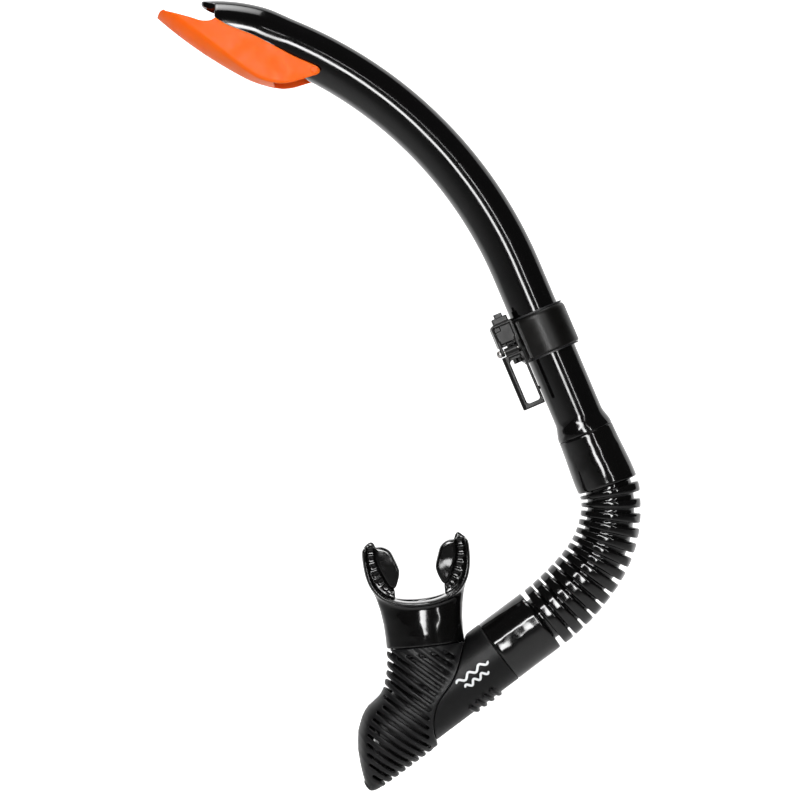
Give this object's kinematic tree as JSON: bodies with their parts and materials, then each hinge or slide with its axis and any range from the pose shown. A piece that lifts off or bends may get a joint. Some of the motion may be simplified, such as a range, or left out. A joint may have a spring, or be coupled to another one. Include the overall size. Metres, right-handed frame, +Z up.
{
  "type": "snorkel tube",
  "caption": "Breathing tube with a bent rigid barrel, open splash guard, ribbed flexible hose, swivelling mouthpiece with a slotted purge-valve cover, and a quick-release strap keeper.",
  "frame": {"origin": "centre of the strap buckle's slot, in the middle of its thickness", "axes": "+Z up as worn, +X towards the barrel's outer side away from the mouthpiece, +Y through the slot towards the back; the barrel, hose and mouthpiece share the plane y = 0.0105"},
  "size_m": [0.2543, 0.0392, 0.415],
  "materials": {
    "barrel_black": "polished moulded finish",
    "guard_orange": "glossy moulded finish",
    "hose_silicone": "glossy silicone",
    "mouth_silicone": "soft silicone",
    "body_matte": "fine matte texture",
    "cover_gloss": "glossy moulded finish",
    "keeper_matte": "fine matte texture",
    "inner_plastic": "moulded",
    "seal_rubber": "soft",
    "valve_silicone": "soft silicone",
    "pin_steel": "drawn wire"
  },
  "bodies": {
    "barrel": {"barrel_tube": "barrel_black", "splash_guard": "guard_orange", "guard_pins": "guard_orange", "hose_coupling": "inner_plastic", "flex_hose": "hose_silicone"},
    "keeper_sleeve": {"keeper_sleeve": "inner_plastic"},
    "keeper_collar": {"keeper_collar": "keeper_matte"},
    "release_clip": {"release_clip": "keeper_matte", "buckle_pin": "pin_steel", "latch_spring": "pin_steel"},
    "release_latch": {"release_latch": "keeper_matte"},
    "strap_buckle": {"strap_buckle": "keeper_matte"},
    "hose_end": {"swivel_spigot": "inner_plastic", "swivel_o_ring": "seal_rubber"},
    "mouth_unit": {"lower_body": "body_matte", "ribbed_cover": "cover_gloss", "swivel_snap_ring": "inner_plastic", "mouthpiece": "mouth_silicone", "mouthpiece_band": "inner_plastic", "valve_seat": "inner_plastic", "seat_gasket": "seal_rubber"},
    "purge_valve": {"purge_valve": "valve_silicone"}
  },
  "joints": [
    {"name": "keeper_slide", "type": "slide", "parent": "barrel", "child": "keeper_sleeve", "axis": [0.3907, 0, -0.9205], "range_m": [-0.022, 0.013]},
    {"name": "keeper_turn", "type": "hinge", "parent": "keeper_sleeve", "child": "keeper_collar", "pos_m": [0.00982, 0.0105, 0.02524], "axis": [0.3907, 0, -0.9205], "continuous": true},
    {"name": "clip_release", "type": "slide", "parent": "keeper_collar", "child": "release_clip", "axis": [-0.3907, 0, 0.9205], "range_m": [0, 0.012]},
    {"name": "latch_press", "type": "slide", "parent": "release_clip", "child": "release_latch", "axis": [0.3907, 0, -0.9205], "range_m": [0, 0.002], "stiffness_N_per_m": 400, "springref_m": -0.001, "deforming": ["latch_spring"]},
    {"name": "strap_hinge", "type": "hinge", "parent": "release_clip", "child": "strap_buckle", "pos_m": [-0.00676, 0, 0.01593], "axis": [-0.9205, 0, -0.3907], "range_deg": [-5, 95]},
    {"name": "hose_flex", "type": "hinge", "parent": "barrel", "child": "hose_end", "pos_m": [0.03383, 0.0105, -0.09325], "axis": [0, -1, 0], "range_deg": [0, 50], "stiffness_Nm_per_rad": 0.5, "deforming": ["flex_hose"]},
    {"name": "mouthpiece_swivel", "type": "hinge", "parent": "hose_end", "child": "mouth_unit", "pos_m": [-0.01325, 0.0105, -0.14233], "axis": [-0.8, 0, -0.6], "continuous": true},
    {"name": "purge_lift", "type": "slide", "parent": "mouth_unit", "child": "purge_valve", "axis": [-1, 0, 0], "range_m": [0, 0.0015], "stiffness_N_per_m": 40, "springref_m": -0.0003}
  ]
}
